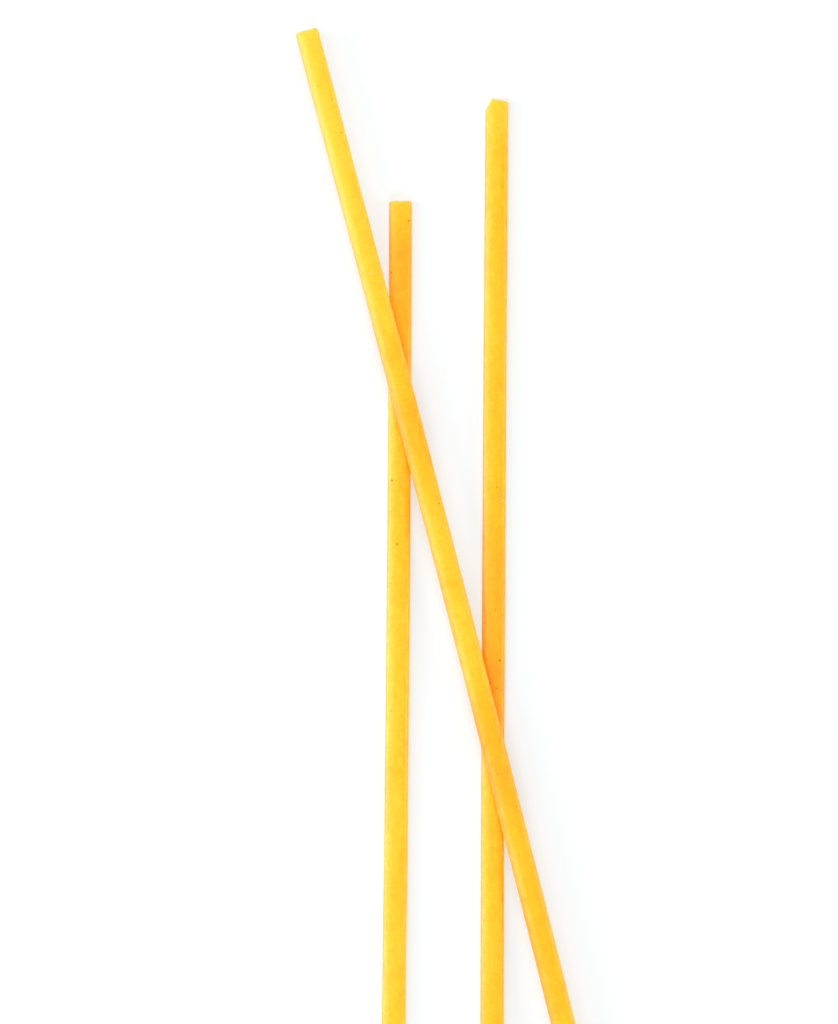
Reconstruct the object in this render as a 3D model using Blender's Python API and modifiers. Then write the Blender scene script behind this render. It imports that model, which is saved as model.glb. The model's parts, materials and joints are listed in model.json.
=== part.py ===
"""Three strands of dry linguine, as they lie: two side by side and a third across both.

Metres, +Z up. The strands run along +Y towards the ends that show, +X is to their right,
and the origin is on the surface they lie on, under the middle of their whole footprint.
"""

import math
from dataclasses import dataclass

import bmesh
import bpy
from mathutils import Matrix, Vector

COLLECTION = "dry_linguine"

# The section that the die gives every strand: a flattened oval with a small flat to rest on,
# which lies REST_LEVEL below the oval's middle.
WIDTH = 0.0040
THICKNESS = 0.0020
OVAL_POWER = 2.4
REST_FLAT = 0.0015
REST_LEVEL = (THICKNESS / 2) * (1 - (REST_FLAT / WIDTH) ** OVAL_POWER) ** (1 / OVAL_POWER)
HEIGHT = THICKNESS / 2 + REST_LEVEL
SECTION_POINTS = 32

# Along a strand.
PATH_STEPS = 12
CUT_ALLOWANCE = 0.003
RIM_ROUNDING = 0.00012
RIM_ANGLE = 50.0
WELD_DISTANCE = 0.000001

# The upper strand, over the lower two: how far down each it lies, as a share of that strand's
# length from the far end, and the room left under it.
OVER_LEFT_AT = 0.13
OVER_RIGHT_AT = 0.45
CLEARANCE = 0.0003

# The blade that cuts a strand to length.
BLADE_SIZE = 4 * WIDTH

# Dried durum dough, matt from the die and slightly glossy where it is smooth.
ROUGHNESS = 0.45


@dataclass(frozen=True)
class Chip:
    """A corner broken off a far end: where its face meets the end, from the middle, and its turn."""

    offset: float
    turn: float


@dataclass(frozen=True)
class Strand:
    """One strand. Turns are degrees about +Z, sizes metres, and places are from the left far end."""

    name: str
    far_end: tuple[float, float]
    lean: float
    length: float
    bow: float
    far_size: float
    near_size: float
    far_cut: float
    near_cut: float
    underside: float
    color: tuple[float, float, float]
    chip: Chip | None = None

    def along(self):
        """The unit vector from the near end to the far end."""
        return turned(Vector((0.0, 1.0, 0.0)), self.lean)

    def across(self):
        """The unit vector to the right of the strand."""
        return turned(Vector((1.0, 0.0, 0.0)), self.lean)

    def size_at(self, share):
        """The size of the section, this share of the length down from the far end."""
        return self.far_size + share * (self.near_size - self.far_size)

    def far_point(self):
        """The middle of the far end, on the strand's underside."""
        return Vector((*self.far_end, self.underside))

    def near_point(self):
        """The middle of the near end, on the strand's underside."""
        return self.far_point() - self.length * self.along()


LEFT = Strand(
    name="strand_left",
    far_end=(0.0, 0.0),
    lean=-0.73,
    length=0.2550,
    bow=0.00063,
    far_size=0.985,
    near_size=1.065,
    far_cut=1.0,
    near_cut=-3.0,
    underside=0.0,
    color=(0.93, 0.56, 0.05),
)
RIGHT = Strand(
    name="strand_right",
    far_end=(0.01683, 0.01765),
    lean=-0.20,
    length=0.2560,
    bow=-0.00032,
    far_size=0.995,
    near_size=1.02,
    far_cut=-10.0,
    near_cut=5.0,
    underside=0.0,
    color=(0.93, 0.58, 0.06),
    chip=Chip(offset=-0.00098, turn=63.0),
)
CROSSING = Strand(
    name="strand_crossing",
    far_end=(-0.01638, 0.02952),
    lean=14.31,
    length=0.2500,
    bow=0.00075,
    far_size=1.010,
    near_size=1.053,
    far_cut=0.0,
    near_cut=-4.0,
    underside=HEIGHT * max(LEFT.size_at(OVER_LEFT_AT), RIGHT.size_at(OVER_RIGHT_AT)) + CLEARANCE,
    color=(0.94, 0.63, 0.07),
)


def turned(vector, degrees):
    """The vector turned about +Z."""
    return Matrix.Rotation(math.radians(degrees), 3, "Z") @ vector


def clear_scene():
    """Removes whatever the scene holds."""
    for obj in list(bpy.data.objects):
        bpy.data.objects.remove(obj)


def new_collection(name):
    """A collection of this name in the scene."""
    collection = bpy.data.collections.new(name)
    bpy.context.scene.collection.children.link(collection)
    return collection


def hide_helper(obj):
    """Marks an object as a cutter or a guide, which isn't part of the food."""
    obj.hide_render = True
    obj.display_type = "WIRE"


def pasta_material(name, color):
    """The dried dough, in this strand's own shade of amber yellow."""
    material = bpy.data.materials.new(name)
    material.use_nodes = True
    shader = material.node_tree.nodes["Principled BSDF"]
    shader.inputs["Base Color"].default_value = (*color, 1.0)
    shader.inputs["Roughness"].default_value = ROUGHNESS
    shader.inputs["Metallic"].default_value = 0.0
    return material


def oval(angle):
    """A point of the flattened oval at an angle, before the rest flat, about its own middle."""
    power = 2 / OVAL_POWER
    across = math.copysign(abs(math.cos(angle)) ** power, math.cos(angle))
    up = math.copysign(abs(math.sin(angle)) ** power, math.sin(angle))
    return across * WIDTH / 2, up * THICKNESS / 2


def section_guide(guides):
    """The strand's section as a closed outline whose origin is the middle of its rest flat."""
    data = bpy.data.curves.new("strand_section", "CURVE")
    data.dimensions = "2D"
    spline = data.splines.new("POLY")
    spline.points.add(SECTION_POINTS - 1)
    spline.use_cyclic_u = True
    for index, point in enumerate(spline.points):
        across, up = oval(2 * math.pi * (index + 0.5) / SECTION_POINTS)
        point.co = (across, max(up, -REST_LEVEL) + REST_LEVEL, 0.0, 1.0)
    guide = bpy.data.objects.new(data.name, data)
    guides.objects.link(guide)
    hide_helper(guide)
    return guide


def strand_path(strand, section, parts):
    """The strand's blank: its section swept along one shallow arc, over-long at both ends."""
    data = bpy.data.curves.new(strand.name, "CURVE")
    data.dimensions = "3D"
    data.twist_mode = "Z_UP"
    data.resolution_u = PATH_STEPS
    data.bevel_mode = "OBJECT"
    data.bevel_object = section
    data.use_fill_caps = True
    near = strand.near_point() - CUT_ALLOWANCE * strand.along()
    far = strand.far_point() + CUT_ALLOWANCE * strand.along()
    sideways = 4 / 3 * strand.bow * strand.across()
    spline = data.splines.new("BEZIER")
    spline.bezier_points.add(1)
    for point, place, other, size in (
        (spline.bezier_points[0], near, far, strand.near_size),
        (spline.bezier_points[1], far, near, strand.far_size),
    ):
        inner = place.lerp(other, 1 / 3) + sideways
        point.handle_left_type = "FREE"
        point.handle_right_type = "FREE"
        point.co = place
        point.handle_left = inner if place == far else 2 * place - inner
        point.handle_right = inner if place == near else 2 * place - inner
        point.radius = size
    path = bpy.data.objects.new(strand.name, data)
    parts.objects.link(path)
    return path


def mesh_from_curve(curve, parts):
    """A mesh object in place of the curve, with its end caps welded on."""
    bpy.context.view_layer.update()
    graph = bpy.context.evaluated_depsgraph_get()
    mesh = bpy.data.meshes.new_from_object(curve.evaluated_get(graph))
    shell = bmesh.new()
    shell.from_mesh(mesh)
    bmesh.ops.remove_doubles(shell, verts=shell.verts, dist=WELD_DISTANCE)
    bmesh.ops.recalc_face_normals(shell, faces=shell.faces)
    shell.to_mesh(mesh)
    shell.free()
    name, place = curve.name, curve.matrix_world.copy()
    bpy.data.objects.remove(curve)
    obj = bpy.data.objects.new(name, mesh)
    obj.matrix_world = place
    parts.objects.link(obj)
    return obj


def blade(name, point, outward, cutters):
    """A block that takes away all that lies beyond the upright plane at this point."""
    data = bpy.data.meshes.new(name)
    block = bmesh.new()
    bmesh.ops.create_cube(block, size=BLADE_SIZE)
    block.to_mesh(data)
    block.free()
    obj = bpy.data.objects.new(name, data)
    obj.location = point + outward * BLADE_SIZE / 2
    obj.rotation_euler.z = math.atan2(outward.y, outward.x)
    cutters.objects.link(obj)
    hide_helper(obj)
    return obj


def strand_blades(strand, cutters):
    """The cuts that end the strand, and the one that leaves its chip."""
    along = strand.along()
    blades = [
        blade(f"{strand.name}_far_cut", strand.far_point(), turned(along, strand.far_cut), cutters),
        blade(f"{strand.name}_near_cut", strand.near_point(), -turned(along, strand.near_cut), cutters),
    ]
    if strand.chip:
        corner = strand.far_point() + strand.chip.offset * strand.across()
        facing = turned(along, strand.chip.turn)
        blades.append(blade(f"{strand.name}_chip", corner, facing, cutters))
    return blades


def build_strand(strand, section, parts, cutters):
    """One strand, cut to length, with its cut rims just rounded."""
    obj = mesh_from_curve(strand_path(strand, section, parts), parts)
    for cutter in strand_blades(strand, cutters):
        cut = obj.modifiers.new(cutter.name, "BOOLEAN")
        cut.operation = "DIFFERENCE"
        cut.solver = "EXACT"
        cut.object = cutter
    rim = obj.modifiers.new("rim_rounding", "BEVEL")
    rim.width = RIM_ROUNDING
    rim.segments = 1
    rim.limit_method = "ANGLE"
    rim.angle_limit = math.radians(RIM_ANGLE)
    obj.data.materials.clear()
    obj.data.materials.append(pasta_material(strand.name, strand.color))
    obj.data.shade_smooth()
    obj.data.set_sharp_from_angle(angle=math.radians(RIM_ANGLE))
    return obj


def centre_on_footprint(strands, cutters):
    """Hangs all on an empty that brings the middle of the strands' footprint to the origin."""
    bpy.context.view_layer.update()
    graph = bpy.context.evaluated_depsgraph_get()
    corners = []
    for obj in strands:
        evaluated = obj.evaluated_get(graph)
        corners += [evaluated.matrix_world @ Vector(corner) for corner in evaluated.bound_box]
    lowest = Vector(min(values) for values in zip(*corners))
    highest = Vector(max(values) for values in zip(*corners))
    middle = (lowest + highest) / 2
    empty = bpy.data.objects.new(COLLECTION, None)
    empty.location = (-middle.x, -middle.y, 0.0)
    bpy.data.collections[COLLECTION].objects.link(empty)
    for obj in (*strands, *cutters.objects):
        obj.parent = empty


def main():
    """Builds the three strands."""
    clear_scene()
    parts = new_collection(COLLECTION)
    cutters = new_collection("cutters")
    guides = new_collection("guides")
    section = section_guide(guides)
    strands = [build_strand(strand, section, parts, cutters) for strand in (LEFT, RIGHT, CROSSING)]
    centre_on_footprint(strands, cutters)


main()
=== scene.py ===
"""The looks of three strands of dry linguine that lie across each other on a white table.

Metres, +Z up, in the frame's own row. A strand is modelled lying along +X, its near end at -X and
its far end, the one that shows, at +X. It is then turned and laid where its CAD node lies.
"""

import json
import logging
import math
import random
from collections.abc import Callable, Iterable
from dataclasses import dataclass
from enum import Enum
from typing import Any

import bmesh
import bpy
from bpy.types import Material, Node, NodeSocket, NodeTree, Object
from mathutils import Matrix, Vector
from mathutils.bvhtree import BVHTree

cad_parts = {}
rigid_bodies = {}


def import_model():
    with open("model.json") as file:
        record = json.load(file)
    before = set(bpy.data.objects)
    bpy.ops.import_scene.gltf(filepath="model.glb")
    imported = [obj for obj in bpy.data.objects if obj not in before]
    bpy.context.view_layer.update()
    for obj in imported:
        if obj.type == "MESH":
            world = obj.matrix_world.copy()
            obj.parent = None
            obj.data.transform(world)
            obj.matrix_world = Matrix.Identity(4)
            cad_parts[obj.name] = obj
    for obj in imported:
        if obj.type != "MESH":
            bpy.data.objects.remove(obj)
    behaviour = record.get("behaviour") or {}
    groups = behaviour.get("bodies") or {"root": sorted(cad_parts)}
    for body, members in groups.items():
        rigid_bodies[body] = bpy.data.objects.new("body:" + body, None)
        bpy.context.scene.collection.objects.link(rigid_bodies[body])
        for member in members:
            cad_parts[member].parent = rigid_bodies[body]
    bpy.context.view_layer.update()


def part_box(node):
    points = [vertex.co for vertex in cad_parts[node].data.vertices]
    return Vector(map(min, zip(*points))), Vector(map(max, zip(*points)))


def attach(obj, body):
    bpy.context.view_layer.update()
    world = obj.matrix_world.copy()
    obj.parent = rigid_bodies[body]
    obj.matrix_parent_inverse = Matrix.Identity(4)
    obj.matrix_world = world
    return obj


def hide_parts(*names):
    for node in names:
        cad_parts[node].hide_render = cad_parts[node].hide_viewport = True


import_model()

LOG = logging.getLogger("linguine")

MM = 0.001

# The photograph, in pixels: its frame, how large it shows a millimetre, and where it shows the
# right-hand corner of the left strand's far end.
PHOTO_WIDTH = 838
PHOTO_HEIGHT = 1024
PHOTO_PX_PER_MM = 5.75
PHOTO_LEFT_CORNER = (411.7, 200.5)

UP = Vector((0.0, 0.0, 1.0))

# How near a plane a vertex counts as lying in it, and how near each other two points are one.
CUT_THRESHOLD = 0.001 * MM
WELD_DISTANCE = 0.002 * MM

# Two directions count as the same where the cosine between them is more than this.
SAME_WAY = 0.99

# The Mix node's colour sockets, whose names its other kinds share.
MIX_FACTOR = 0
MIX_FIRST = 6
MIX_SECOND = 7
MIX_RESULT = 2

# The attributes of a strand: 1 on its cuts and 0 on its drawn surface, and the place across it,
# from 0 at its left side to 1 at its right.
CUT_MARK = "cut_face"
ACROSS_MARK = "place_across"

# The vertex groups of a strand that its reliefs are bound to.
SKIN_GROUP = "skin"
CUT_GROUP = "cut"

# Between these lie nearly all of a noise's values.
NOISE_LOW = 0.25
NOISE_HIGH = 0.75


class End(Enum):
    """The two ends of a strand, by the side of its middle that they are on."""

    NEAR = -1
    FAR = 1


def linear(hex_color: str) -> tuple[float, float, float, float]:
    """Turn an sRGB hex colour into linear light.

    Args:
        hex_color: Six hex digits, with or without a leading number sign.

    Returns:
        Linear red, green and blue, and an alpha of one.
    """
    digits = hex_color.lstrip("#")
    channels = [int(digits[place : place + 2], 16) / 255 for place in (0, 2, 4)]
    light = [c / 12.92 if c <= 0.04045 else ((c + 0.055) / 1.055) ** 2.4 for c in channels]
    return (*light, 1.0)


def new_node(
    tree: NodeTree,
    kind: str,
    links: dict[str | int, NodeSocket] | None = None,
    values: dict[str | int, Any] | None = None,
    **settings: Any,
) -> Node:
    """Add a node with its settings, its fixed inputs and its links.

    Args:
        tree: The node tree that gets the node.
        kind: The node's type, without the leading "ShaderNode".
        links: The output that feeds each named or numbered input.
        values: The fixed value of each named or numbered input.
        **settings: The node's own properties.

    Returns:
        The new node.
    """
    node = tree.nodes.new("ShaderNode" + kind)
    for name, value in settings.items():
        setattr(node, name, value)
    for socket, value in (values or {}).items():
        node.inputs[socket].default_value = value
    for socket, source in (links or {}).items():
        tree.links.new(source, node.inputs[socket])
    return node


def combine(
    tree: NodeTree, operation: str, first: NodeSocket, second: NodeSocket
) -> NodeSocket:
    """Add or multiply two values.

    Args:
        tree: The node tree.
        operation: ADD or MULTIPLY.
        first: One value.
        second: The other value.

    Returns:
        The result.
    """
    return new_node(tree, "Math", {0: first, 1: second}, operation=operation).outputs["Value"]


def tint(
    tree: NodeTree,
    factor: NodeSocket,
    base: NodeSocket,
    hex_color: str,
    blend_type: str = "MIX",
) -> NodeSocket:
    """Lay a fixed colour over another.

    Args:
        tree: The node tree.
        factor: How much of the fixed colour shows.
        base: The colour under it.
        hex_color: The fixed colour.
        blend_type: MIX to cover, or MULTIPLY to darken.

    Returns:
        The colour of both.
    """
    mix = new_node(
        tree,
        "Mix",
        {MIX_FACTOR: factor, MIX_FIRST: base},
        {MIX_SECOND: linear(hex_color)},
        data_type="RGBA",
        blend_type=blend_type,
    )
    return mix.outputs[MIX_RESULT]


def set_ramp(node: Node, stops: Iterable[tuple[float, tuple[float, ...]]]) -> None:
    """Give a colour ramp node its stops.

    Args:
        node: The ramp.
        stops: Each stop's place and its linear colour, in rising order.
    """
    elements = node.color_ramp.elements
    while len(elements) > 1:
        elements.remove(elements[-1])
    for index, (place, color) in enumerate(stops):
        stop = elements[0] if index == 0 else elements.new(place)
        stop.position = place
        stop.color = color


def grey(level: float) -> tuple[float, float, float, float]:
    """Return a grey of this level as a ramp colour."""
    return (level, level, level, 1.0)


def select_only(piece: Object) -> None:
    """Deselect everything, then select a piece and make it active.

    Args:
        piece: The piece.
    """
    for other in bpy.context.view_layer.objects:
        other.select_set(False)
    piece.select_set(True)
    bpy.context.view_layer.objects.active = piece


def open_in_edit_mode(piece: Object) -> None:
    """Select a piece alone, and open it in edit mode."""
    select_only(piece)
    bpy.ops.object.mode_set(mode="EDIT")


def edit_mesh() -> bmesh.types.BMesh:
    """Return the mesh of the piece that is open in edit mode."""
    return bmesh.from_edit_mesh(bpy.context.object.data)


def pick(mode: str, wanted: Callable[[Any], bool]) -> None:
    """Select the elements of the edit mesh that a test wants, and nothing else.

    Args:
        mode: VERT, EDGE or FACE.
        wanted: The test, which takes one element.
    """
    bpy.ops.mesh.select_mode(type=mode)
    bpy.ops.mesh.select_all(action="DESELECT")
    mesh = edit_mesh()
    for element in {"VERT": mesh.verts, "EDGE": mesh.edges, "FACE": mesh.faces}[mode]:
        if wanted(element):
            element.select_set(True)
    mesh.select_flush_mode()
    bmesh.update_edit_mesh(bpy.context.object.data)


def pick_long_edges(least: float) -> None:
    """Select the edges that reach farther than this along the strand."""
    pick("EDGE", lambda edge: abs((edge.verts[0].co - edge.verts[1].co).x) > least)


def apply_modifiers(piece: Object) -> None:
    """Apply all of a piece's modifiers, first to last.

    Args:
        piece: The piece.
    """
    select_only(piece)
    for modifier in list(piece.modifiers):
        bpy.ops.object.modifier_apply(modifier=modifier.name)


def apply_place(piece: Object) -> None:
    """Move a piece's place, turn and scale into its mesh."""
    select_only(piece)
    bpy.ops.object.transform_apply(location=True, rotation=True, scale=True)


def mesh_box(piece: Object) -> tuple[Vector, Vector]:
    """Measure a piece's own mesh.

    Args:
        piece: The piece.

    Returns:
        The lowest and the highest corner of its box.
    """
    places = [vertex.co for vertex in piece.data.vertices]
    lowest = Vector(min(values) for values in zip(*places))
    highest = Vector(max(values) for values in zip(*places))
    return lowest, highest


@dataclass(frozen=True)
class DriedPasta:
    """Dried durum wheat dough, drawn through a smooth die.

    The semolina sets hard, waxy and a little translucent: light goes in a millimetre or so and
    comes back golden, deeper where the strand is thick or shaded. The die leaves a soft sheen with
    faint lines along the strand. The narrow sides have painted shade, a darker, cooler colour, the
    left one most. Coarser semolina shows as a low mottle of paler and deeper grains, and its starch
    as a faint creamy film. The same creamy colour is painted down the sides as a sheen, more on some
    strands, most on the left, and less where the colour is deep. Along each strand, the depth of
    colour is partly painted shade, deeper where the strands cross and shade each other.
    """

    lemon: str = "#FFCB33"
    golden: str = "#FFBB0C"
    amber: str = "#FFA808"
    orange: str = "#FC9808"
    bloom_and_sheen: str = "#FFDFB7"
    painted_side_shade: str = "#D8DDFF"
    floury: str = "#FFC344"
    roughness: float = 0.40
    cut_roughness: float = 0.75
    ior: float = 1.48
    specular_level: float = 0.42
    subsurface: float = 1.0
    subsurface_reach: float = 2.0 * MM
    subsurface_spread: tuple[float, float, float] = (1.0, 0.5, 0.15)
    # How wide a die line is, and how many times longer than wide.
    die_line: float = 0.22 * MM
    die_line_stretch: float = 50.0
    relief_grain: float = 0.42 * MM
    relief: float = 0.010 * MM
    # How wide each cloud is, how many times longer than wide, and how far it shifts the tone.
    mottle: tuple[tuple[float, float, float], ...] = (
        (5.0 * MM, 3.0, 0.13),
        (1.1 * MM, 1.4, 0.11),
        (0.42 * MM, 1.0, 0.09),
    )
    # How wide the clouds of the creamy film and the painted sheen are and how many times longer
    # than wide, how much the film's thinnest and thickest places cover all over, and what those
    # multiply the sides' painted sheen by.
    bloom_and_sheen_cloud: tuple[float, float] = (0.9 * MM, 2.0)
    bloom_cover: tuple[float, float] = (0.0, 0.013)
    side_unevenness: tuple[float, float] = (0.6, 1.4)
    # The depths of colour where no painted sheen shows on the sides, and where all of it does.
    sheen_depths: tuple[float, float] = (0.60, 0.15)
    # How the sides' painted sheen and painted shade grow across the strand, of its whole
    # width: from where, to where, and to how much of the strand's own share.
    sheen_sides: tuple[tuple[float, float, float], ...] = ((0.42, 0.12, 1.0), (0.78, 0.94, 0.4))
    shaded_sides: tuple[tuple[float, float, float], ...] = ((0.20, 0.06, 1.0), (0.90, 0.97, 0.2))

    def material(
        self,
        name: str,
        origin: Vector,
        turn: float,
        length: float,
        tones_and_shade: Iterable[tuple[float, float]],
        side_sheen: float,
        side_shade: float,
    ) -> Material:
        """Make the finish for one strand.

        Args:
            name: The material's name.
            origin: The middle of the strand's far end.
            turn: The strand's turn about +Z from +Y, in radians.
            length: The strand's length.
            tones_and_shade: Along the strand, the distance from its far end in millimetres, and the
                depth
            of colour there, from 0, lemon, to 1, orange, partly painted shade where the strands
            cross.
            side_sheen: The share of the left side that the painted sheen covers.
            side_shade: How much painted shade darkens the left side, from 0 to 1.

        Returns:
            The material.
        """
        material = bpy.data.materials.new(name)
        material.use_nodes = True
        tree = material.node_tree
        shader = tree.nodes["Principled BSDF"]
        place = new_node(tree, "TexCoord").outputs["Object"]
        # Y runs along the strand from 0 at the far end to minus its length, and X across it.
        laid = new_node(
            tree,
            "Mapping",
            {"Vector": place},
            {"Location": origin, "Rotation": (0.0, 0.0, turn)},
            vector_type="TEXTURE",
        ).outputs["Vector"]
        # The depth of colour along the strand is partly painted shade, deeper where the strands
        # cross.
        depth = self._depth(tree, laid, length, tones_and_shade)
        dough = new_node(tree, "ValToRGB", {"Fac": depth})
        colors = (self.lemon, self.golden, self.amber, self.orange)
        last = len(colors) - 1
        set_ramp(dough, ((index / last, linear(color)) for index, color in enumerate(colors)))
        across = new_node(tree, "Attribute", attribute_name=ACROSS_MARK).outputs["Fac"]
        # Painted shade: the narrow sides, the left one most, are darkened to a cooler colour.
        side_shade_share = self._on_sides(tree, across, self.shaded_sides, side_shade)
        painted_side_shade = tint(tree, side_shade_share, dough.outputs["Color"], self.painted_side_shade, "MULTIPLY")
        # A faint creamy film all over, and a painted sheen of the same colour down the sides, the
        # left one most.
        bloom_and_sheen = self._bloom_and_sheen(tree, laid, across, depth, side_sheen)
        with_bloom_and_sheen = tint(tree, bloom_and_sheen, painted_side_shade, self.bloom_and_sheen)
        cut = new_node(tree, "Attribute", attribute_name=CUT_MARK).outputs["Fac"]
        tree.links.new(tint(tree, cut, with_bloom_and_sheen, self.floury), shader.inputs["Base Color"])
        rough = new_node(
            tree,
            "MapRange",
            {"Value": cut},
            {"To Min": self.roughness, "To Max": self.cut_roughness},
        )
        tree.links.new(rough.outputs["Result"], shader.inputs["Roughness"])
        tree.links.new(self._relief(tree, laid), shader.inputs["Normal"])
        shader.inputs["IOR"].default_value = self.ior
        shader.inputs["Specular IOR Level"].default_value = self.specular_level
        shader.inputs["Subsurface Weight"].default_value = self.subsurface
        shader.inputs["Subsurface Radius"].default_value = self.subsurface_spread
        shader.inputs["Subsurface Scale"].default_value = self.subsurface_reach
        return material

    @staticmethod
    def _cloud(
        tree: NodeTree, laid: NodeSocket, size: float, stretch: float, low: float, high: float
    ) -> NodeSocket:
        """Make a soft noise drawn out along the strand.

        Args:
            tree: The material's node tree.
            laid: The place on the strand.
            size: How wide its clouds are.
            stretch: How many times longer than wide.
            low: The value of its thinnest places.
            high: The value of its thickest places.

        Returns:
            The noise, from low to high.
        """
        drawn = new_node(tree, "Mapping", {"Vector": laid}, {"Scale": (1.0, 1.0 / stretch, 1.0)})
        cloud = new_node(
            tree,
            "TexNoise",
            {"Vector": drawn.outputs["Vector"]},
            {"Scale": 1.0 / size, "Detail": 2.0, "Roughness": 0.5},
        )
        return new_node(
            tree,
            "MapRange",
            {"Value": cloud.outputs["Fac"]},
            {"From Min": NOISE_LOW, "From Max": NOISE_HIGH, "To Min": low, "To Max": high},
        ).outputs["Result"]

    @staticmethod
    def _on_sides(
        tree: NodeTree,
        across: NodeSocket,
        sides: Iterable[tuple[float, float, float]],
        most: float,
    ) -> NodeSocket:
        """Make a share that grows smoothly towards the strand's sides, and is 0 between.

        Args:
            tree: The material's node tree.
            across: The place across the strand.
            sides: For each of the two sides, where it starts to grow, where it is at its most, and
                how much of the most it reaches.
            most: The most that the share reaches.

        Returns:
            The share.
        """
        left, right = (
            new_node(
                tree,
                "MapRange",
                {"Value": across},
                {"From Min": start, "From Max": end, "To Min": 0.0, "To Max": part * most},
                interpolation_type="SMOOTHSTEP",
            ).outputs["Result"]
            for start, end, part in sides
        )
        return combine(tree, "ADD", left, right)

    def _bloom_and_sheen(
        self,
        tree: NodeTree,
        laid: NodeSocket,
        across: NodeSocket,
        depth: NodeSocket,
        side_sheen: float,
    ) -> NodeSocket:
        """Make the share of creamy colour: a film all over, and painted sheen down the sides.

        Args:
            tree: The material's node tree.
            laid: The place on the strand.
            across: The place across the strand.
            depth: The depth of colour, where less painted sheen shows.
            side_sheen: As for material().

        Returns:
            The share, never much.
        """
        all_over = self._cloud(tree, laid, *self.bloom_and_sheen_cloud, *self.bloom_cover)
        uneven = self._cloud(tree, laid, *self.bloom_and_sheen_cloud, *self.side_unevenness)
        deep, pale = self.sheen_depths
        paleness = new_node(tree, "MapRange", {"Value": depth}, {"From Min": deep, "From Max": pale})
        # Painted sheen down the sides, uneven, and less where the colour is deep.
        sides = self._on_sides(tree, across, self.sheen_sides, side_sheen)
        for factor in (uneven, paleness.outputs["Result"]):
            sides = combine(tree, "MULTIPLY", sides, factor)
        return combine(tree, "ADD", all_over, sides)

    def _depth(
        self,
        tree: NodeTree,
        laid: NodeSocket,
        length: float,
        tones_and_shade: Iterable[tuple[float, float]],
    ) -> NodeSocket:
        """Make the depth of colour: the slow change along the strand, partly painted shade where the
        strands cross, its patches and its grain.

        Args:
            tree: The material's node tree.
            laid: The place on the strand.
            length: The strand's length.
            tones_and_shade: As for material().

        Returns:
            The depth, from 0 to 1.
        """
        split = new_node(tree, "SeparateXYZ", {"Vector": laid})
        share = new_node(
            tree,
            "MapRange",
            {"Value": split.outputs["Y"]},
            {"From Min": 0.0, "From Max": -length},
        )
        along = new_node(tree, "ValToRGB", {"Fac": share.outputs["Result"]})
        along.color_ramp.interpolation = "EASE"
        set_ramp(along, ((distance * MM / length, grey(tone)) for distance, tone in tones_and_shade))
        total = along.outputs["Color"]
        for size, stretch, strength in self.mottle:
            cloud = self._cloud(tree, laid, size, stretch, -strength, strength)
            total = combine(tree, "ADD", total, cloud)
        return total

    def _relief(self, tree: NodeTree, laid: NodeSocket) -> NodeSocket:
        """Make the fine relief: die lines along the strand, and grain that stands a little proud.

        Args:
            tree: The material's node tree.
            laid: The place on the strand.

        Returns:
            The bent normal.
        """
        squeeze = (1.0, 1.0 / self.die_line_stretch, 1.0)
        drawn = new_node(tree, "Mapping", {"Vector": laid}, {"Scale": squeeze})
        lines = new_node(
            tree,
            "TexNoise",
            {"Vector": drawn.outputs["Vector"]},
            {"Scale": 1.0 / self.die_line, "Detail": 1.0},
        )
        grain = new_node(
            tree,
            "TexNoise",
            {"Vector": laid},
            {"Scale": 1.0 / self.relief_grain, "Detail": 3.0},
        )
        height = combine(tree, "ADD", lines.outputs["Fac"], grain.outputs["Fac"])
        bump = new_node(
            tree, "Bump", {"Height": height}, {"Strength": 1.0, "Distance": self.relief}
        )
        return bump.outputs["Normal"]


@dataclass(frozen=True)
class MilledGrain:
    """A flake of the wheat itself, milled into the semolina: dry, matt and opaque.

    Bran is brown, and a grain of hard endosperm that took up no water stays chalky.
    """

    name: str
    dark: str
    light: str
    roughness: float = 0.7
    ior: float = 1.48
    specular_level: float = 0.2
    # How far apart two flakes lie before their colours differ, and the values of the noise that
    # make one darkest and lightest.
    variety: float = 1.5 * MM
    darkest: float = 0.35
    lightest: float = 0.65

    def material(self) -> Material:
        """Make the finish of one kind of flake, no two of quite the same colour.

        Returns:
            The material.
        """
        material = bpy.data.materials.new(self.name)
        material.use_nodes = True
        tree = material.node_tree
        shader = tree.nodes["Principled BSDF"]
        place = new_node(tree, "TexCoord").outputs["Object"]
        cloud = new_node(
            tree, "TexNoise", {"Vector": place}, {"Scale": 1.0 / self.variety, "Detail": 0.0}
        )
        shade = new_node(tree, "ValToRGB", {"Fac": cloud.outputs["Fac"]})
        stops = ((self.darkest, linear(self.dark)), (self.lightest, linear(self.light)))
        set_ramp(shade, stops)
        tree.links.new(shade.outputs["Color"], shader.inputs["Base Color"])
        shader.inputs["Roughness"].default_value = self.roughness
        shader.inputs["IOR"].default_value = self.ior
        shader.inputs["Specular IOR Level"].default_value = self.specular_level
        return material


class Flake(Enum):
    """The two kinds of flake that show in the dough, each with its finish."""

    BRAN = MilledGrain("wheat_bran", "#BE7A1A", "#DC9C34")
    CHALKY = MilledGrain("chalky_semolina", "#FFD171", "#FFDA92")


@dataclass(frozen=True)
class Speck:
    """A flake that shows in the photograph. Millimetres, from the middle of the far end."""

    kind: Flake
    down: float
    across: float
    size: float


@dataclass(frozen=True)
class Chip:
    """A corner broken off a far end: where its face meets the end, from the middle, and its turn."""

    across: float
    turn: float


@dataclass(frozen=True)
class Relief:
    """A relief in the dough: its grain, how drawn out it is, its height and its vertex group."""

    name: str
    size: float
    stretch: float
    height: float
    group: str


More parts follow.
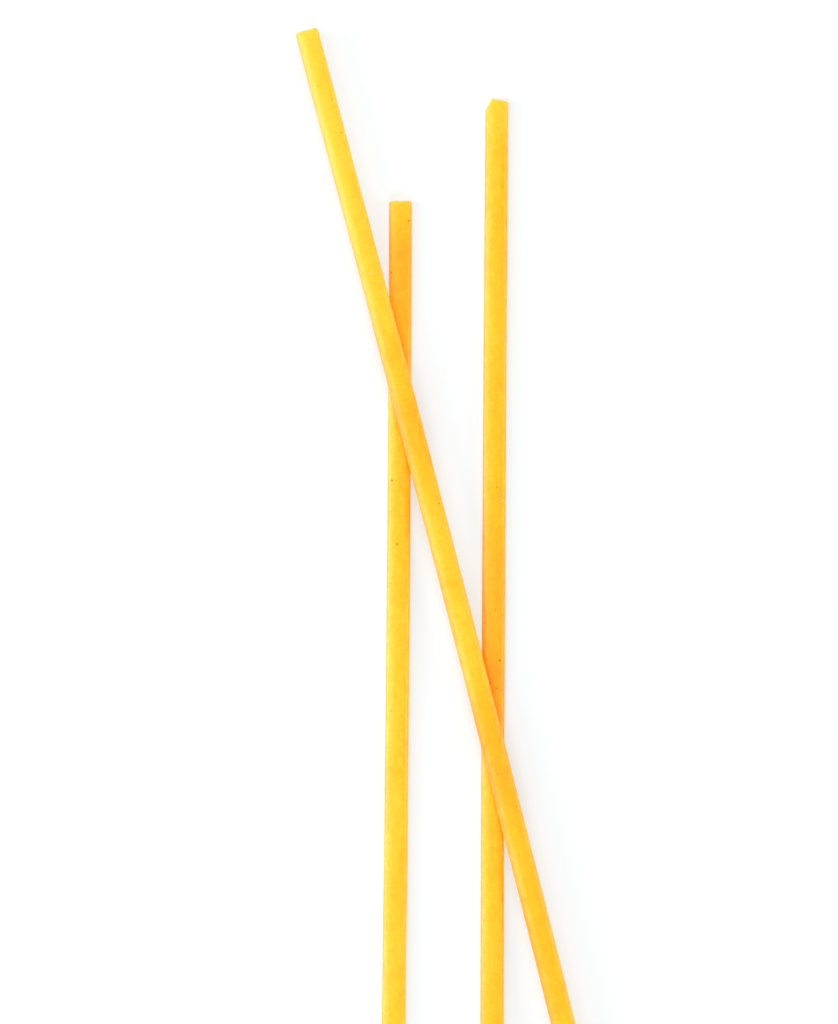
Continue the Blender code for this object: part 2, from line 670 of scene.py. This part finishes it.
@dataclass
class Strand:
    """One strand of linguine, sized and bowed as its CAD node. Turns are degrees about +Z."""

    node: str
    piece_name: str
    lean: float
    length: float
    bow: float
    far_size: float
    near_size: float
    far_cut: float
    near_cut: float
    # As for DriedPasta.material(): millimetres from the far end, and the depth of colour there,
    # partly painted shade.
    tones_and_shade: tuple[tuple[float, float], ...]
    specks: tuple[Speck, ...] = ()
    # The painted sheen and the painted shade on the left side.
    side_sheen: float = 0.0
    side_shade: float = 0.65
    chip: Chip | None = None
    settle: float = 0.0
    width: float = 4.0 * MM
    thickness: float = 2.0 * MM
    oval_power: float = 2.4
    rest_flat: float = 1.5 * MM
    corner_steps: int = 12
    # The blade crushes the rims: how far back it rounds them, to what share of the section, and
    # the same for the sharper rim of a chip.
    rim_depth: float = 0.50 * MM
    rim_share: float = 0.76
    chip_rim_depth: float = 0.16 * MM
    chip_rim_share: float = 0.86
    rim_steps: int = 5
    ring_gap: float = 0.30 * MM
    # A cut face has more edges than this, and gets rings, each this share of the one around it.
    plain_edges: int = 10
    cut_rings: tuple[float, ...] = (0.86, 0.80, 0.74, 0.62, 0.45)
    # How much a face of a cut looks along the strand, at least.
    cut_facing: float = 0.4
    # How high up the reliefs are at their full height, as a share of the thickness. Below that
    # they fade, so that the underside stays flat.
    full_relief: float = 0.15
    reliefs: tuple[Relief, ...] = (
        Relief("swell", 9.0 * MM, 2.0, 0.050 * MM, SKIN_GROUP),
        Relief("die_lines", 0.40 * MM, 60.0, 0.014 * MM, SKIN_GROUP),
        Relief("grain", 0.70 * MM, 1.0, 0.014 * MM, SKIN_GROUP),
        Relief("crumb", 0.45 * MM, 1.0, 0.120 * MM, CUT_GROUP),
    )
    # Which stretch of the reliefs' pattern this strand has.
    seed_offset: float = 0.0
    smooth_angle: float = 40.0

    def build(self) -> Object:
        """Model, dress and lay the strand.

        Returns:
            The finished piece, which stands for its CAD node.
        """
        piece = self._rounded_bar()
        self._flatten_underside()
        self._cut_ends()
        self._size_ends()
        self._round_rims()
        self._break_off_chip()
        self._ring_the_cuts()
        self._divide_lengthwise()
        self._mark_faces(piece)
        self._roughen(piece)
        self._bow_sideways(piece)
        self._lay(piece)
        self._dress(piece)
        return piece

    @property
    def turn(self) -> float:
        """The strand's turn about +Z from +Y, in radians."""
        return math.radians(self.lean)

    @property
    def rest_level(self) -> float:
        """How far the flat underside lies below the oval's middle."""
        share = (self.rest_flat / self.width) ** self.oval_power
        return self.thickness / 2 * (1 - share) ** (1 / self.oval_power)

    def _rounded_bar(self) -> Object:
        """Draw a square bar, round its long edges until they meet, and widen it to the oval.

        Returns:
            The bar, open in edit mode.
        """
        over_long = self.length + 4 * self.width
        bpy.ops.object.select_all(action="DESELECT")
        bpy.ops.mesh.primitive_cube_add(size=1.0)
        piece = bpy.context.object
        piece.name = self.piece_name
        open_in_edit_mode(piece)
        bpy.ops.mesh.select_all(action="SELECT")
        bpy.ops.transform.resize(value=(over_long, self.thickness, self.thickness))
        pick_long_edges(self.length)
        # The profile is the one whose curve has the oval's power.
        bpy.ops.mesh.bevel(
            offset=self.thickness / 2,
            offset_type="OFFSET",
            segments=self.corner_steps,
            profile=0.5 ** (2 / self.oval_power),
            affect="EDGES",
            clamp_overlap=False,
        )
        bpy.ops.mesh.select_all(action="SELECT")
        bpy.ops.mesh.remove_doubles(threshold=WELD_DISTANCE)
        bpy.ops.transform.resize(value=(1.0, self.width / self.thickness, 1.0))
        return piece

    def _flatten_underside(self) -> None:
        """Slice the rest flat, and bring it down to z = 0."""
        bpy.ops.mesh.select_all(action="SELECT")
        bpy.ops.mesh.bisect(
            plane_co=(0.0, 0.0, -self.rest_level),
            plane_no=(0.0, 0.0, 1.0),
            use_fill=True,
            clear_inner=True,
            threshold=CUT_THRESHOLD,
        )
        bpy.ops.mesh.select_all(action="SELECT")
        bpy.ops.transform.translate(value=(0.0, 0.0, self.rest_level))

    def _slice(self, point: Vector, outward: Vector) -> None:
        """Take away all that lies beyond a plane, and close the cut.

        Args:
            point: A point of the plane.
            outward: Its normal, towards what goes.
        """
        bpy.ops.mesh.select_all(action="SELECT")
        bpy.ops.mesh.bisect(
            plane_co=point,
            plane_no=outward,
            use_fill=True,
            clear_outer=True,
            threshold=CUT_THRESHOLD,
        )

    def _cut_ends(self) -> None:
        """Cut the strand to length, each end at its own slant, less what its rims take."""
        for end, slant in ((End.FAR, self.far_cut), (End.NEAR, self.near_cut)):
            outward = Vector((end.value, 0.0, 0.0))
            point = outward * (self.length / 2 - self.rim_depth)
            self._slice(point, Matrix.Rotation(math.radians(slant), 3, "Z") @ outward)

    def _size_ends(self) -> None:
        """Scale the section at each end about the middle of the underside."""
        for end, size in ((End.FAR, self.far_size), (End.NEAR, self.near_size)):
            pick("VERT", lambda vertex: vertex.co.x * end.value > 0)
            bpy.ops.transform.resize(value=(1.0, size, size), center_override=(0.0, 0.0, 0.0))

    def _is_cut(self, face: bmesh.types.BMFace) -> bool:
        """Tell whether a face of the undivided strand is a cut or a chip."""
        longest = max(edge.calc_length() for edge in face.edges)
        return len(face.edges) > self.plain_edges and longest < self.width

    def _swell_face(self, wanted: Callable[[Any], bool], depth: float, share: float) -> None:
        """Draw a cut face out in a quarter round, as it shrinks about its middle.

        Args:
            wanted: The test that finds the face.
            depth: How far out it goes.
            share: The size that is left of it.
        """
        pick("FACE", wanted)
        face = next(face for face in edit_mesh().faces if face.select)
        middle, normal = face.calc_center_median(), face.normal.copy()
        last_out, last_size = 0.0, 1.0
        for step in range(1, self.rim_steps + 1):
            angle = math.radians(90.0) * step / self.rim_steps
            out, size = depth * math.sin(angle), 1.0 - (1.0 - share) * (1.0 - math.cos(angle))
            bpy.ops.mesh.extrude_region_move()
            bpy.ops.transform.resize(value=(size / last_size,) * 3, center_override=middle)
            bpy.ops.transform.translate(value=normal * (out - last_out))
            middle += normal * (out - last_out)
            last_out, last_size = out, size

    def _round_rims(self) -> None:
        """Round the rims of both cuts, more at the strand's sides than at its top."""
        for end in End:
            self._swell_face(
                lambda face: self._is_cut(face) and face.normal.x * end.value > 0,
                self.rim_depth,
                self.rim_share,
            )

    def _break_off_chip(self) -> None:
        """Break the corner off the far end, and dull the rim that this leaves."""
        if not self.chip:
            return
        turn = Matrix.Rotation(math.radians(self.chip.turn), 3, "Z")
        outward = turn @ Vector((1.0, 0.0, 0.0))
        corner = Vector((self.length / 2, -self.chip.across, 0.0))
        self._slice(corner - outward * self.chip_rim_depth, outward)
        self._swell_face(
            lambda face: self._is_cut(face) and face.normal.dot(outward) > SAME_WAY,
            self.chip_rim_depth,
            self.chip_rim_share,
        )

    def _ring_the_cuts(self) -> None:
        """Divide each cut face into rings about its middle, which its roughness needs."""
        cuts = [
            (face.calc_center_median(), face.normal.copy())
            for face in edit_mesh().faces
            if self._is_cut(face)
        ]
        for middle, normal in cuts:
            pick(
                "FACE",
                lambda face: self._is_cut(face)
                and (face.calc_center_median() - middle).length < WELD_DISTANCE
                and face.normal.dot(normal) > SAME_WAY,
            )
            for share in self.cut_rings:
                bpy.ops.mesh.extrude_region_move()
                bpy.ops.transform.resize(value=(share,) * 3, center_override=middle)
            bpy.ops.mesh.merge(type="CENTER")

    def _divide_lengthwise(self) -> None:
        """Divide the long faces into rings, turn all faces outwards and leave edit mode."""
        parts = math.ceil(math.sqrt(self.length / self.ring_gap))
        for least in (self.length / 2, self.length / parts / 2):
            pick_long_edges(least)
            bpy.ops.mesh.subdivide(number_cuts=parts - 1)
        bpy.ops.mesh.select_all(action="SELECT")
        bpy.ops.mesh.normals_make_consistent(inside=False)
        bpy.ops.object.mode_set(mode="OBJECT")

    def _mark_faces(self, piece: Object) -> None:
        """Mark the cuts, the drawn surface and the places across, for the relief and the finish.

        Args:
            piece: The strand so far.
        """
        mesh = piece.data
        beyond = self.length / 2 - self.width
        on_cut = [0.0] * len(mesh.vertices)
        for polygon in mesh.polygons:
            if abs(polygon.normal.x) < self.cut_facing or abs(polygon.center.x) < beyond:
                continue
            for index in polygon.vertices:
                on_cut[index] = 1.0
        places = [0.5 - vertex.co.y / self.width for vertex in mesh.vertices]
        for name, values in ((CUT_MARK, on_cut), (ACROSS_MARK, places)):
            mesh.attributes.new(name, "FLOAT", "POINT").data.foreach_set("value", values)
        skin = piece.vertex_groups.new(name=SKIN_GROUP)
        cut = piece.vertex_groups.new(name=CUT_GROUP)
        for vertex, share in zip(mesh.vertices, on_cut):
            lifted = min(1.0, vertex.co.z / (self.full_relief * self.thickness))
            cut.add([vertex.index], share, "REPLACE")
            skin.add([vertex.index], lifted * (1.0 - share), "REPLACE")

    def _roughen(self, piece: Object) -> None:
        """Give the drawn surface its slow swell, die lines and grain, and the cuts their crumb.

        Args:
            piece: The strand so far.
        """
        guides = []
        for relief in self.reliefs:
            texture = bpy.data.textures.new(relief.name, "CLOUDS")
            texture.noise_scale = relief.size
            texture.noise_depth = 2
            guide = bpy.data.objects.new(relief.name, None)
            bpy.context.scene.collection.objects.link(guide)
            guide.location = (self.seed_offset, 0.0, 0.0)
            guide.scale = (relief.stretch, 1.0, 1.0)
            guides.append(guide)
            push = piece.modifiers.new(relief.name, "DISPLACE")
            push.texture = texture
            push.texture_coords = "OBJECT"
            push.texture_coords_object = guide
            push.vertex_group = relief.group
            push.mid_level = 0.5
            push.strength = relief.height
        bpy.context.view_layer.update()
        apply_modifiers(piece)
        for guide in guides:
            bpy.data.objects.remove(guide)

    def _bow_sideways(self, piece: Object) -> None:
        """Bend the strand into its shallow arc.

        Args:
            piece: The strand so far.
        """
        bend = piece.modifiers.new("bow", "SIMPLE_DEFORM")
        bend.deform_method = "BEND"
        bend.deform_axis = "Z"
        # The angle of a shallow arc this long whose middle is this far from its chord.
        bend.angle = 8 * self.bow / self.length
        apply_modifiers(piece)

    def _lay(self, piece: Object) -> None:
        """Turn the strand to its lean, and lay it where its CAD node lies.

        Args:
            piece: The strand so far.
        """
        piece.rotation_euler.z = math.radians(90.0) + self.turn
        apply_place(piece)
        lowest, highest = mesh_box(piece)
        cad_lowest, cad_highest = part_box(self.node)
        shift = (cad_lowest + cad_highest - lowest - highest) / 2
        shift.z = cad_lowest.z - self.settle - lowest.z
        piece.location = shift
        apply_place(piece)

    def along(self) -> Vector:
        """Return the unit vector from the near end to the far end."""
        return Vector((-math.sin(self.turn), math.cos(self.turn), 0.0))

    def across(self) -> Vector:
        """Return the unit vector to the right of the strand."""
        return Vector((math.cos(self.turn), math.sin(self.turn), 0.0))

    def surface(self) -> BVHTree:
        """Find the surface of the finished piece.

        Returns:
            The surface, for rays.
        """
        mesh = bpy.data.objects[self.piece_name].data
        places = [vertex.co for vertex in mesh.vertices]
        return BVHTree.FromPolygons(places, [polygon.vertices for polygon in mesh.polygons])

    def middle_at(self, surface: BVHTree, down: float) -> Vector:
        """Find the middle of the bowed strand.

        Args:
            surface: The strand's surface.
            down: The distance down from the far end.

        Returns:
            The middle of the section there.
        """
        start = self.far_middle() - down * self.along() + self.thickness / 2 * UP
        right = surface.ray_cast(start, self.across())[0]
        left = surface.ray_cast(start, -self.across())[0]
        return (left + right) / 2

    def far_middle(self) -> Vector:
        """Work out the middle of the far end from the CAD node's box and the lean.

        Returns:
            The middle, on the underside.
        """
        lowest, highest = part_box(self.node)
        middle = (lowest + highest) / 2
        return Vector((middle.x, middle.y, lowest.z)) + self.length / 2 * self.along()

    def _dress(self, piece: Object) -> None:
        """Shade the strand smooth and give it its finish.

        Args:
            piece: The strand so far.
        """
        select_only(piece)
        bpy.ops.object.shade_smooth_by_angle(angle=math.radians(self.smooth_angle))
        finish = DriedPasta().material(
            f"dried_pasta_{self.piece_name}",
            self.far_middle(),
            self.turn,
            self.length,
            self.tones_and_shade,
            self.side_sheen,
            self.side_shade,
        )
        piece.data.materials.clear()
        piece.data.materials.append(finish)
        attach(piece, "root")
        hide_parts(self.node)


@dataclass
class Flakes:
    """All the flakes of one kind, each sunk in the surface of a strand, as one piece."""

    kind: Flake
    name: str
    seed: int
    # How many each strand has besides those that the photograph shows, and how long they are.
    scattered: int
    sizes: tuple[float, float]
    # A flake's width and thickness, as shares of its length, and how far its rim wanders and how
    # evenly.
    breadth: float = 0.75
    flatness: float = 0.35
    rim_wander: float = 0.12
    rim_evenness: float = 0.4
    # How much of a flake's thickness lies under the surface, from -1, none, to 1, all.
    sunk: float = 0.35
    # The most that the photograph's flakes are turned from the strand, in radians.
    most_turn: float = 0.5
    # Where the others lie: along the strand, as shares of its length, and over it from its right
    # side to its left, as shares of half a turn.
    along: tuple[float, float] = (0.01, 0.99)
    around: tuple[float, float] = (-0.15, 1.15)

    def build(self, strands: Iterable[Strand]) -> Object:
        """Model one flake, and set copies of it in the strands.

        Args:
            strands: The strands, already built.

        Returns:
            The piece that holds them all.
        """
        model = self._model()
        draw = random.Random(self.seed)
        copies = []
        for strand in strands:
            surface = strand.surface()
            for speck in strand.specks:
                if speck.kind is self.kind:
                    start = strand.middle_at(surface, speck.down * MM)
                    start += speck.across * MM * strand.across()
                    spin = draw.uniform(-self.most_turn, self.most_turn)
                    copies.append(
                        self._set(model, strand, surface, start, UP, speck.size * MM, spin)
                    )
            for _ in range(self.scattered):
                start = strand.middle_at(surface, draw.uniform(*self.along) * strand.length)
                around = draw.uniform(*self.around) * math.pi
                outward = math.cos(around) * strand.across() + math.sin(around) * UP
                size = draw.uniform(*self.sizes)
                spin = draw.uniform(0.0, math.pi)
                copies.append(self._set(model, strand, surface, start, outward, size, spin))
        bpy.data.objects.remove(model)
        piece = self._join(copies)
        piece.data.materials.clear()
        piece.data.materials.append(self.kind.value.material())
        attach(piece, "root")
        return piece

    def _model(self) -> Object:
        """Model one flake a metre long: a flattened ball with an uneven rim.

        Returns:
            The flake.
        """
        bpy.ops.object.select_all(action="DESELECT")
        bpy.ops.mesh.primitive_uv_sphere_add(segments=8, ring_count=5, radius=0.5)
        model = bpy.context.object
        open_in_edit_mode(model)
        bpy.ops.mesh.select_all(action="SELECT")
        bpy.ops.transform.vertex_random(
            offset=self.rim_wander, uniform=self.rim_evenness, seed=self.seed
        )
        bpy.ops.transform.resize(value=(1.0, self.breadth, self.flatness))
        bpy.ops.mesh.normals_make_consistent(inside=False)
        bpy.ops.object.mode_set(mode="OBJECT")
        bpy.ops.object.shade_smooth()
        return model

    def _set(
        self,
        model: Object,
        strand: Strand,
        surface: BVHTree,
        start: Vector,
        outward: Vector,
        size: float,
        spin: float,
    ) -> Object:
        """Set a copy of the flake where a line from inside the strand leaves its surface.

        Args:
            model: The flake.
            strand: The strand.
            surface: The strand's surface.
            start: Where the line starts.
            outward: The line's direction.
            size: The copy's length.
            spin: The turn of its length from the strand's, in radians.

        Returns:
            The copy, with a mesh of its own.
        """
        place, normal, _, _ = surface.ray_cast(start, outward)
        copy = bpy.data.objects.new(self.name, model.data.copy())
        bpy.context.scene.collection.objects.link(copy)
        sideways = normal.cross(strand.along()).normalized()
        tilt = Matrix((sideways.cross(normal), sideways, normal)).transposed().to_4x4()
        turned = Matrix.Rotation(spin, 4, "Z") @ Matrix.Scale(size, 4)
        centre = place - normal * (self.sunk * self.flatness * size / 2)
        copy.data.transform(Matrix.Translation(centre) @ tilt @ turned)
        return copy

    def _join(self, copies: list[Object]) -> Object:
        """Join the copies into one piece.

        Args:
            copies: All the flakes.

        Returns:
            The piece.
        """
        bpy.ops.object.select_all(action="DESELECT")
        for copy in copies:
            copy.select_set(True)
        bpy.context.view_layer.objects.active = copies[0]
        bpy.ops.object.join()
        piece = bpy.context.object
        piece.name = self.name
        return piece


@dataclass
class Bundle:
    """The three strands as they lie."""

    def strands(self) -> list[Strand]:
        """Describe the three strands.

        Returns:
            The strands, the upper one last.
        """
        left = Strand(
            node="strand_left",
            piece_name="linguine_left",
            lean=-0.73,
            length=255.0 * MM,
            bow=0.63 * MM,
            far_size=0.985,
            near_size=1.065,
            far_cut=1.0,
            near_cut=-3.0,
            # Partly painted shade, deeper where the strands cross and shade each other.
            tones_and_shade=(
                (0.0, 0.31),
                (10.0, 0.51),
                (22.0, 0.46),
                (36.0, 0.33),
                (47.0, 0.14),
                (60.0, 0.23),
                (103.0, 0.20),
            ),
            side_sheen=0.03,
            side_shade=0.5,
            specks=(
                Speck(Flake.BRAN, 3.4, 1.50, 0.50),
                Speck(Flake.BRAN, 12.5, -1.48, 0.28),
                Speck(Flake.BRAN, 14.1, 1.04, 0.24),
                Speck(Flake.BRAN, 25.1, 0.60, 0.30),
                Speck(Flake.BRAN, 48.6, -1.25, 0.40),
                Speck(Flake.BRAN, 59.7, -0.30, 0.60),
                Speck(Flake.BRAN, 88.7, -1.10, 0.26),
            ),
            seed_offset=0.31,
        )
        right = Strand(
            node="strand_right",
            piece_name="linguine_right",
            lean=-0.20,
            length=256.0 * MM,
            bow=-0.32 * MM,
            far_size=0.995,
            near_size=1.02,
            far_cut=-10.0,
            near_cut=5.0,
            # Partly painted shade, deeper where the strands cross and shade each other.
            tones_and_shade=(
                (0.0, 0.15),
                (19.0, 0.31),
                (48.0, 0.22),
                (65.0, 0.32),
                (84.0, 0.58),
                (97.0, 0.53),
                (104.0, 0.72),
                (118.0, 0.27),
            ),
            side_sheen=0.03,
            specks=(
                Speck(Flake.CHALKY, 41.4, 1.14, 0.42),
                Speck(Flake.BRAN, 67.5, 0.45, 0.42),
                Speck(Flake.CHALKY, 69.8, 1.55, 0.36),
                Speck(Flake.BRAN, 88.8, 0.40, 0.24),
                Speck(Flake.BRAN, 97.6, 1.12, 0.48),
                Speck(Flake.BRAN, 101.5, -0.45, 0.24),
                Speck(Flake.BRAN, 102.5, 0.62, 0.40),
                Speck(Flake.BRAN, 108.6, 1.05, 0.30),
            ),
            chip=Chip(across=-0.98 * MM, turn=63.0),
            seed_offset=0.73,
        )
        crossing = Strand(
            node="strand_crossing",
            piece_name="linguine_crossing",
            lean=14.31,
            length=250.0 * MM,
            bow=0.75 * MM,
            far_size=1.010,
            near_size=1.053,
            far_cut=0.0,
            near_cut=-4.0,
            # Partly painted shade, deeper where the strands cross and shade each other.
            tones_and_shade=(
                (0.0, 0.05),
                (22.0, 0.03),
                (40.0, 0.11),
                (50.0, 0.04),
                (60.0, 0.30),
                (72.0, 0.49),
                (92.0, 0.20),
                (113.0, 0.21),
                (130.0, 0.55),
                (150.0, 0.32),
            ),
            side_sheen=0.11,
            side_shade=1.0,
            specks=(
                Speck(Flake.BRAN, 10.0, -0.67, 0.22),
                Speck(Flake.BRAN, 12.8, 1.17, 0.24),
                Speck(Flake.BRAN, 18.8, 1.36, 0.30),
                Speck(Flake.CHALKY, 43.8, 0.08, 0.42),
                Speck(Flake.BRAN, 84.5, -1.06, 0.32),
                Speck(Flake.BRAN, 85.4, 1.42, 0.34),
                Speck(Flake.CHALKY, 132.4, -1.03, 0.42),
                Speck(Flake.BRAN, 133.3, -0.50, 0.36),
            ),
            settle=0.29 * MM,
            seed_offset=1.17,
        )
        return [left, right, crossing]

    def flakes(self) -> list[Flakes]:
        """Return the two kinds of flake that the dough holds."""
        return [
            Flakes(Flake.BRAN, "bran_flakes", 11, scattered=26, sizes=(0.06 * MM, 0.14 * MM)),
            Flakes(Flake.CHALKY, "chalky_flakes", 12, scattered=7, sizes=(0.12 * MM, 0.30 * MM)),
        ]

    def build(self) -> list[Object]:
        """Build the strands, and then the flakes in them.

        Returns:
            All the pieces, the strands first.
        """
        strands = self.strands()
        pieces = [strand.build() for strand in strands]
        return pieces + [flakes.build(strands) for flakes in self.flakes()]


@dataclass(frozen=True)
class WhiteTable:
    """A smooth white laminate sheet, large enough to run out of sight from any side.

    It glows faintly, as a lit copy stand does, so that the shadows on it stay pale.
    """

    color: str = "#B5B9BB"
    roughness: float = 0.9
    specular_level: float = 0.1
    glow: float = 0.406
    width: float = 6.0

    def build(self) -> None:
        """Make the table."""
        bpy.ops.object.select_all(action="DESELECT")
        bpy.ops.mesh.primitive_plane_add(size=self.width)
        sheet = bpy.context.object
        sheet.name = "table"
        material = bpy.data.materials.new("white_laminate")
        material.use_nodes = True
        shader = material.node_tree.nodes["Principled BSDF"]
        shader.inputs["Base Color"].default_value = linear(self.color)
        shader.inputs["Roughness"].default_value = self.roughness
        shader.inputs["Specular IOR Level"].default_value = self.specular_level
        shader.inputs["Emission Color"].default_value = grey(1.0)
        shader.inputs["Emission Strength"].default_value = self.glow
        sheet.data.materials.append(material)


@dataclass(frozen=True)
class Softbox:
    """A square soft light, placed by its direction, in degrees, and its distance."""

    name: str
    azimuth: float
    elevation: float
    watts: float
    distance: float = 1.3
    side: float = 0.5

    def build(self, target: Vector) -> None:
        """Hang the light and aim it.

        Args:
            target: The point that it faces.
        """
        data = bpy.data.lights.new(self.name, "AREA")
        data.shape = "SQUARE"
        data.size = self.side
        data.energy = self.watts
        light = bpy.data.objects.new(self.name, data)
        bpy.context.scene.collection.objects.link(light)
        around, up = math.radians(self.azimuth), math.radians(self.elevation)
        away = Vector(
            (math.cos(around) * math.cos(up), math.sin(around) * math.cos(up), math.sin(up))
        )
        light.location = target + away * self.distance
        light.rotation_mode = "QUATERNION"
        light.rotation_quaternion = away.to_track_quat("Z", "Y")
        light.visible_camera = False


@dataclass
class Studio:
    """The camera, the table and the light of a high-key photograph taken from straight above."""

    # The lens and the sensor are in millimetres.
    lens: float = 250.0
    sensor: float = 36.0
    # How many times nearer and farther than the strands the camera still sees.
    clip_reach: float = 10.0
    focus_height: float = 2.0 * MM
    sky: float = 0.393
    lights: tuple[Softbox, ...] = (
        Softbox("grazing_left", azimuth=180.0, elevation=12.0, watts=3.1),
        Softbox("low_left", azimuth=180.0, elevation=25.0, watts=7.7),
        Softbox("high_left", azimuth=180.0, elevation=55.0, watts=3.3),
        Softbox("right", azimuth=0.0, elevation=25.0, watts=4.6),
        Softbox("behind", azimuth=90.0, elevation=45.0, watts=7.4),
        Softbox("front", azimuth=-90.0, elevation=45.0, watts=4.5),
    )

    def view_centre(self) -> Vector:
        """Find what the middle of the photograph shows.

        Returns:
            The point, just over the table.
        """
        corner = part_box("strand_left")[1]
        right = (PHOTO_WIDTH / 2 - PHOTO_LEFT_CORNER[0]) / PHOTO_PX_PER_MM * MM
        down = (PHOTO_HEIGHT / 2 - PHOTO_LEFT_CORNER[1]) / PHOTO_PX_PER_MM * MM
        return Vector((corner.x + right, corner.y - down, self.focus_height))

    def build(self) -> None:
        """Set up the camera, the table, the lights and the colour."""
        centre = self.view_centre()
        data = bpy.data.cameras.new("camera")
        data.lens = self.lens
        data.sensor_width = self.sensor
        frame_height = PHOTO_HEIGHT / PHOTO_PX_PER_MM * MM
        distance = self.lens / self.sensor * frame_height
        data.clip_start = distance / self.clip_reach
        data.clip_end = distance * self.clip_reach
        camera = bpy.data.objects.new("camera", data)
        camera.location = centre + Vector((0.0, 0.0, distance))
        bpy.context.scene.collection.objects.link(camera)
        bpy.context.scene.camera = camera
        WhiteTable().build()
        for softbox in self.lights:
            softbox.build(centre)
        world = bpy.data.worlds.new("studio")
        world.use_nodes = True
        background = world.node_tree.nodes["Background"]
        background.inputs["Color"].default_value = grey(1.0)
        background.inputs["Strength"].default_value = self.sky
        bpy.context.scene.world = world
        bpy.context.scene.view_settings.view_transform = "Standard"


def main() -> None:
    """Build everything, and report each piece."""
    logging.basicConfig(level=logging.INFO, format="%(message)s")
    Studio().build()
    for piece in Bundle().build():
        lowest, highest = mesh_box(piece)
        size = " x ".join(f"{side / MM:.2f}" for side in highest - lowest)
        LOG.info("%s: %s mm, %d faces", piece.name, size, len(piece.data.polygons))


if __name__ == "__main__":
    main()
